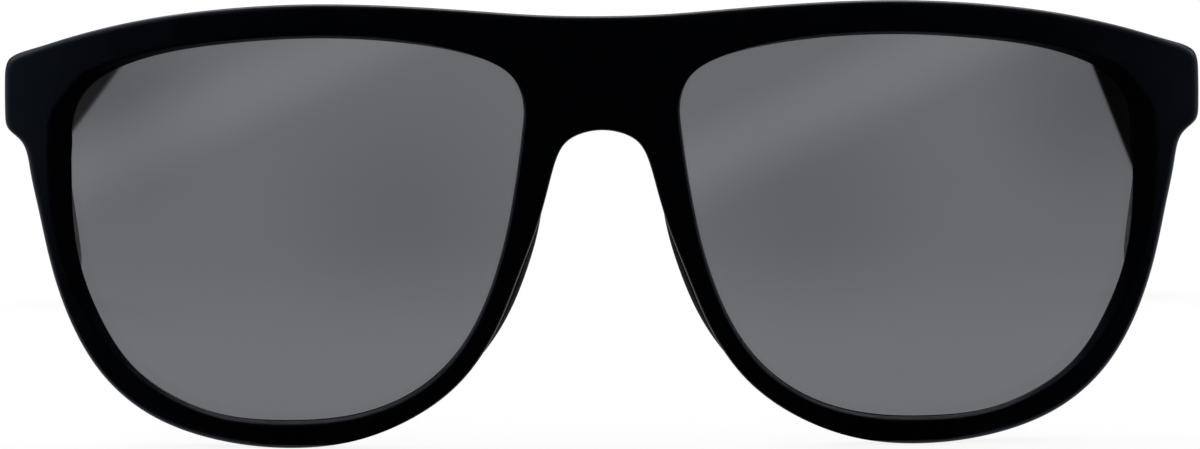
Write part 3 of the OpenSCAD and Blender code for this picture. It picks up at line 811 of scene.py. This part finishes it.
def lens_painted_light_and_shade(tree, centre):
    """Painted light and shade of a lens beside its mean tint: painted light at its foot, a
    painted reflection in a streak that slants across its upper part, and painted shade in a
    pool beside the nose and under the brow's end."""
    # Painted light, lighter towards the lens's foot
    height = along(tree, centre, 90)
    painted_level = smooth_range(tree, height, FOOT_LOW * MM, FOOT_TOP * MM, FOOT_PAINTED_LIGHT, 0.0)
    # A painted reflection: a light streak that slants across the upper part
    across = along(tree, centre, 90 + STREAK_ANGLE)
    low, top = (STREAK_UP - STREAK_REACH) * MM, (STREAK_UP + STREAK_REACH) * MM
    rise = smooth_range(tree, across, low, STREAK_UP * MM, 0.0, STREAK_PAINTED_REFLECTION)
    fall = smooth_range(tree, across, STREAK_UP * MM, top, 1.0, 0.0)
    painted_level = maths(tree, "ADD", painted_level, maths(tree, "MULTIPLY", rise, fall))
    # Painted shade in a pool beside the nose and under the brow's end
    pool = soft_spot(tree, centre, POOL_OUT, POOL_UP, POOL_REACH, POOL_PAINTED_SHADE)
    brow = soft_spot(tree, centre, BROW_OUT, BROW_UP, BROW_REACH, BROW_PAINTED_SHADE)
    painted_level = maths(tree, "ADD", painted_level, maths(tree, "ADD", pool, brow))
    clouds = spread(tree, object_noise(tree, 45, 2), 0.99, 1.01)
    return maths(tree, "ADD", painted_level, clouds)


def lens_tint_with_painted_light(name, side, finish):
    """Clear tinted plastic, with painted light and shade in soft forms in its tint, and painted
    shade at the upper outer corner, which stands for the temple seen through the lens."""
    material, tree, surface = shader(name)
    centre = (side * LENS_X * MM, (LENS_RISE - RIM_KNOTS[:, 1].min()) * MM)
    # Painted shade at the upper outer corner, standing for the temple seen through the lens
    reach = along(tree, centre, CORNER_ANGLE[side])
    edge = [(CORNER_EDGE[side] + soft) * MM for soft in CORNER_SOFT]
    corner = smooth_range(tree, reach, *edge, 1.0, CORNER_PAINTED_SHADE_LEFT_OVER[side])
    scaled = tree.nodes.new("ShaderNodeVectorMath")
    scaled.operation = "SCALE"
    scaled.inputs["Vector"].default_value = finish.lens
    # The mean tint times the painted light and shade and the painted corner shade
    shade = maths(tree, "MULTIPLY", lens_painted_light_and_shade(tree, centre), corner)
    tree.links.new(shade, scaled.inputs["Scale"])
    tree.links.new(scaled.outputs["Vector"], surface.inputs["Base Color"])
    surface.inputs["Roughness"].default_value = 0.0
    surface.inputs["IOR"].default_value = 1.5
    surface.inputs["Transmission Weight"].default_value = 1.0
    return material


def brushed_metal(name, colour, rough, stretch):
    """Drawn or barrelled metal with fine streaks along one way."""
    material, tree, surface = shader(name)
    streaks = object_noise(tree, 9000, 3, stretch)
    shades = ramp(tree, streaks, [(0.3, tinted(colour, 0.88)), (0.7, tinted(colour, 1.1))])
    tree.links.new(shades, surface.inputs["Base Color"])
    tree.links.new(spread(tree, streaks, rough - 0.08, rough + 0.08), surface.inputs["Roughness"])
    grain(tree, surface, streaks, 0.000004)
    surface.inputs["Metallic"].default_value = 1.0
    return material


def dress(node, material):
    """Gives a carried CAD node its material."""
    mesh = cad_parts[node].data
    mesh.materials.clear()
    mesh.materials.append(material)


# Operators


SIDES = (("left", -1), ("right", 1))


def mirrored(points, side):
    """Points for the right side, or their mirror image for the left."""
    return points * (side, 1, 1)


class SUNGLASSES_OT_front(bpy.types.Operator):
    """Build the moulded front: both rims, brow, bridge and end pieces"""

    bl_idname = "sunglasses.front"
    bl_label = "Build front"

    def execute(self, context):
        scene = context.scene
        finish = scene.sunglasses_finish
        plastic = satin_plastic("front plastic", finish.plastic, finish.plastic_rough,
                                PLASTIC_GLOSS, finish.plastic_sheen)
        points, faces = front_mesh(scene.sunglasses_shape)
        piece("front", place(points), faces, plastic, "front", "front_frame")
        return {"FINISHED"}


class SUNGLASSES_OT_lenses(bpy.types.Operator):
    """Build the two tinted lenses"""

    bl_idname = "sunglasses.lenses"
    bl_label = "Build lenses"

    def execute(self, context):
        finish = context.scene.sunglasses_finish
        points, faces = lens_mesh()
        for word, side in SIDES:
            # Each lens's tint, with its painted light and shade
            tint = lens_tint_with_painted_light(f"lens tint with painted light {word}", side, finish)
            where = place(mirrored(points, side))
            piece(f"lens_{word}_glazed", where, faces, tint, "front", f"lens_{word}")
        return {"FINISHED"}


class SUNGLASSES_OT_nose_pads(bpy.types.Operator):
    """Build the two nose pads"""

    bl_idname = "sunglasses.nose_pads"
    bl_label = "Build nose pads"

    def execute(self, context):
        scene = context.scene
        rubber = satin_plastic("pad rubber", scene.sunglasses_finish.rubber, PAD_ROUGH,
                               PAD_GLOSS, PAD_SHEEN)
        points, faces = pad_mesh(scene.sunglasses_shape)
        for word, side in SIDES:
            where = place(mirrored(points, side))
            piece(f"pad_{word}", where, faces, rubber, "front", f"nose_pad_{word}")
        return {"FINISHED"}


class SUNGLASSES_OT_temples(bpy.types.Operator):
    """Build the two temples"""

    bl_idname = "sunglasses.temples"
    bl_label = "Build temples"

    def execute(self, context):
        scene = context.scene
        finish = scene.sunglasses_finish
        plastic = satin_plastic("temple plastic", finish.plastic, finish.plastic_rough,
                                PLASTIC_GLOSS, finish.plastic_sheen)
        points, faces = temple_mesh(scene.sunglasses_shape)
        for word, side in SIDES:
            where = place(mirrored(points, side))
            body = f"{word}_temple"
            piece(f"arm_{word}", where, faces, plastic, body, f"temple_{word}")
        return {"FINISHED"}


class SUNGLASSES_OT_metal(bpy.types.Operator):
    """Finish the hinges, screws and core wires"""

    bl_idname = "sunglasses.metal"
    bl_label = "Finish metal parts"

    def execute(self, context):
        finish = context.scene.sunglasses_finish
        nickel = brushed_metal("hinge nickel", finish.nickel, 0.34, (1, 0.04, 1))
        steel = brushed_metal("screw steel", finish.steel, 0.22, (1, 1, 0.1))
        wire = brushed_metal("drawn wire", finish.steel, 0.3, (1, 0.05, 0.2))
        for word, _ in SIDES:
            dress(f"front_hinge_{word}", nickel)
            dress(f"temple_hinge_{word}", nickel)
            dress(f"hinge_screw_{word}", steel)
            dress(f"temple_hinge_screws_{word}", steel)
            dress(f"core_wire_{word}", wire)
        return {"FINISHED"}


def soft_lamp(name, azimuth, elevation, distance, size, power):
    """A large square lamp that looks at the middle of the sunglasses."""
    data = bpy.data.lights.new(name, "AREA")
    data.shape = "SQUARE"
    data.size = size
    data.energy = power
    lamp = bpy.data.objects.new(name, data)
    az, el = math.radians(azimuth), math.radians(elevation)
    way = np.array([math.sin(az) * math.cos(el), -math.cos(az) * math.cos(el), math.sin(el)])
    lamp.location = way * distance + (0, 0, MIDDLE_Z)
    lamp.rotation_euler = (math.pi / 2 - el, 0, az)
    bpy.context.scene.collection.objects.link(lamp)


def background_rays(tree):
    """1 on the rays that see the background, straight, in gloss or through a lens."""
    path = tree.nodes.new("ShaderNodeLightPath")
    total = path.outputs["Is Camera Ray"]
    for ray in ("Is Glossy Ray", "Is Transmission Ray"):
        both = tree.nodes.new("ShaderNodeMath")
        both.operation = "MAXIMUM"
        tree.links.new(total, both.inputs[0])
        tree.links.new(path.outputs[ray], both.inputs[1])
        total = both.outputs[0]
    return total


def studio_world(ambient):
    """White where it is seen, straight, in gloss or through a lens, and otherwise a plain
    grey light."""
    world = bpy.data.worlds.new("studio")
    bpy.context.scene.world = world
    world.use_nodes = True
    tree = world.node_tree
    tree.nodes.clear()
    output = tree.nodes.new("ShaderNodeOutputWorld")
    plain = tree.nodes.new("ShaderNodeBackground")
    plain.inputs["Color"].default_value = (1, 1, 1, 1)
    plain.inputs["Strength"].default_value = ambient
    white = tree.nodes.new("ShaderNodeBackground")
    white.inputs["Color"].default_value = (1, 1, 1, 1)
    white.inputs["Strength"].default_value = 1.0
    mix = tree.nodes.new("ShaderNodeMixShader")
    tree.links.new(background_rays(tree), mix.inputs["Fac"])
    tree.links.new(plain.outputs[0], mix.inputs[1])
    tree.links.new(white.outputs[0], mix.inputs[2])
    tree.links.new(mix.outputs[0], output.inputs["Surface"])


def floor_material(shadow):
    """Pale floor that shows white, with a shadow of the given weight, and throws little
    light back at the sunglasses."""
    material, tree, surface = shader("pale floor")
    tone = tree.nodes.new("ShaderNodeMix")
    tone.data_type = "RGBA"
    tone.inputs["A"].default_value = (0.25, 0.25, 0.25, 1)
    tone.inputs["B"].default_value = (0.82, 0.82, 0.82, 1)
    tree.links.new(background_rays(tree), tone.inputs["Factor"])
    tree.links.new(tone.outputs[2], surface.inputs["Base Color"])
    surface.inputs["Roughness"].default_value = 0.9
    surface.inputs["Specular IOR Level"].default_value = 0.0
    glow = tree.nodes.new("ShaderNodeEmission")
    glow.inputs["Color"].default_value = (1, 1, 1, 1)
    glow.inputs["Strength"].default_value = 1.0
    weight = tree.nodes.new("ShaderNodeMath")
    weight.operation = "MULTIPLY"
    weight.inputs[1].default_value = 1 - shadow
    mix = tree.nodes.new("ShaderNodeMixShader")
    output = tree.nodes["Material Output"]
    tree.links.new(background_rays(tree), weight.inputs[0])
    tree.links.new(weight.outputs[0], mix.inputs["Fac"])
    tree.links.new(surface.outputs["BSDF"], mix.inputs[1])
    tree.links.new(glow.outputs[0], mix.inputs[2])
    tree.links.new(mix.outputs[0], output.inputs["Surface"])
    return material


def card_material():
    """Dark studio card: nearly black in its middle, clear at its edges."""
    material, tree, surface = shader("dark card")
    tree.nodes.remove(surface)
    edge = tree.nodes.new("ShaderNodeAttribute")
    edge.attribute_name = "cover"
    dark = tree.nodes.new("ShaderNodeEmission")
    dark.inputs["Color"].default_value = (1, 1, 1, 1)
    dark.inputs["Strength"].default_value = CARD_LIGHT
    clear = tree.nodes.new("ShaderNodeBsdfTransparent")
    mix = tree.nodes.new("ShaderNodeMixShader")
    tree.links.new(edge.outputs["Fac"], mix.inputs["Fac"])
    tree.links.new(clear.outputs[0], mix.inputs[1])
    tree.links.new(dark.outputs[0], mix.inputs[2])
    tree.links.new(mix.outputs[0], tree.nodes["Material Output"].inputs["Surface"])
    return material


def card_mesh():
    """Points, faces and cover of a card bent over the sunglasses: a line that runs forward
    along the floor, up and back overhead at CARD_REACH, by pitch, carried sideways by a
    spread angle.

    Its cover is full in front and overhead, and again low behind, where the top of the
    brow would mirror the background. It fades towards the sides, last along the floor."""
    side, pitch = np.meshgrid(np.linspace(-78, 78, 79), np.linspace(-88, 180, 135), indexing="ij")
    p = np.radians(pitch)
    reach = np.minimum(CARD_REACH, CARD_DROP / np.maximum(np.sin(-p), 1e-3))
    reach = np.where(pitch < 0, reach, CARD_REACH)
    x = reach * np.tan(np.radians(side)) + 0.1 * np.clip(side / 4, -1, 1)
    y, z = CARD_Y - reach * np.cos(p), MIDDLE_Z + reach * np.sin(p)
    points = np.stack([x, y, z], axis=-1)
    overhead = 1 - ease(105, 130, pitch)
    behind = ease(145, 158, pitch)
    aside = (1 - ease(28, 68, -side)) * (1 - ease(34, 76, side))
    below = (1 - ease(-45, -25, pitch)) * (1 - ease(66, 76, abs(side)))
    cover = np.maximum(aside * np.maximum(overhead, behind), below)
    quads, _, _ = grid_faces(*side.shape, False, False)
    return points.reshape(-1, 3), quads, cover.ravel()


def add_floor():
    """The floor, a square in the plane z = 0."""
    r = FLOOR_REACH
    corners = np.array([(-r, -r, 0), (r, -r, 0), (r, r, 0), (-r, r, 0)])
    floor = mesh_object("floor", corners, [(0, 1, 2, 3)])
    floor.data.materials.append(floor_material(FLOOR_SHADOW))
    return floor


def add_card():
    """The dark card, which only gloss sees."""
    points, faces, cover = card_mesh()
    card = mesh_object("dark_card", points, faces)
    shade = card.data.attributes.new("cover", "FLOAT", "POINT")
    shade.data.foreach_set("value", cover.astype(np.float32))
    card.data.materials.append(card_material())
    card.visible_camera = False
    card.visible_diffuse = False
    card.visible_transmission = False
    card.visible_shadow = False
    card.visible_volume_scatter = False
    return card


class SUNGLASSES_OT_stage(bpy.types.Operator):
    """Set the floor, the light and the camera"""

    bl_idname = "sunglasses.stage"
    bl_label = "Set stage"

    def execute(self, context):
        scene = context.scene
        studio = scene.sunglasses_studio
        scene.view_settings.view_transform = "Standard"
        studio_world(AMBIENT)
        floor = add_floor()
        card = add_card()
        for name, *lamp in LAMPS:
            soft_lamp(name, *lamp, LAMP_POWER * studio.lamp_level)
        self.add_camera(scene, studio)
        return {"FINISHED"}

    def add_camera(self, scene, studio):
        """The camera, at its distance from the middle of the front, turned and rolled."""
        e, a, roll = studio.elevation, studio.azimuth, studio.roll
        back = np.array([math.sin(a) * math.cos(e), -math.cos(a) * math.cos(e), math.sin(e)])
        side = np.cross(-back, (0, 0, 1))
        side /= np.linalg.norm(side)
        up = np.cross(side, -back)
        right = math.cos(roll) * side + math.sin(roll) * up
        top = math.cos(roll) * up - math.sin(roll) * side
        target = place([LOOK_AT])[0]
        data = bpy.data.cameras.new("camera")
        data.sensor_width = 36
        data.lens = data.sensor_width * studio.distance / studio.picture_w
        data.clip_end = 20
        camera = bpy.data.objects.new("camera", data)
        turned = np.stack([right, top, back, target + studio.distance * back], axis=1)
        camera.matrix_world = Matrix([*turned.tolist(), (0, 0, 0, 1)])
        scene.collection.objects.link(camera)
        scene.camera = camera


class SUNGLASSES_PT_panel(bpy.types.Panel):
    """Lists the sizes, the finishes and the steps of the build"""

    bl_idname = "SUNGLASSES_PT_panel"
    bl_label = "Square sunglasses"
    bl_space_type = "VIEW_3D"
    bl_region_type = "UI"
    bl_category = "Sunglasses"

    def draw(self, context):
        scene = context.scene
        groups = (scene.sunglasses_shape, scene.sunglasses_finish, scene.sunglasses_studio)
        for group in groups:
            box = self.layout.box()
            for name in group.__annotations__:
                box.prop(group, name)
        for step in STEPS:
            self.layout.operator(step.bl_idname)


STEPS = (
    SUNGLASSES_OT_stage,
    SUNGLASSES_OT_front,
    SUNGLASSES_OT_lenses,
    SUNGLASSES_OT_nose_pads,
    SUNGLASSES_OT_temples,
    SUNGLASSES_OT_metal,
)
GROUPS = (SunglassesShape, SunglassesFinish, SunglassesStudio)


def register():
    """Registers the classes and hangs the property groups on the scene."""
    for cls in (*GROUPS, *STEPS, SUNGLASSES_PT_panel):
        bpy.utils.register_class(cls)
    bpy.types.Scene.sunglasses_shape = bpy.props.PointerProperty(type=SunglassesShape)
    bpy.types.Scene.sunglasses_finish = bpy.props.PointerProperty(type=SunglassesFinish)
    bpy.types.Scene.sunglasses_studio = bpy.props.PointerProperty(type=SunglassesStudio)


def unregister():
    """Takes the property groups off the scene and unregisters the classes."""
    del bpy.types.Scene.sunglasses_studio
    del bpy.types.Scene.sunglasses_finish
    del bpy.types.Scene.sunglasses_shape
    for cls in reversed((*GROUPS, *STEPS, SUNGLASSES_PT_panel)):
        bpy.utils.unregister_class(cls)


def main():
    """Builds every piece in order."""
    register()
    bpy.ops.sunglasses.stage()
    bpy.ops.sunglasses.front()
    bpy.ops.sunglasses.lenses()
    bpy.ops.sunglasses.nose_pads()
    bpy.ops.sunglasses.temples()
    bpy.ops.sunglasses.metal()


if __name__ == "__main__":
    main()
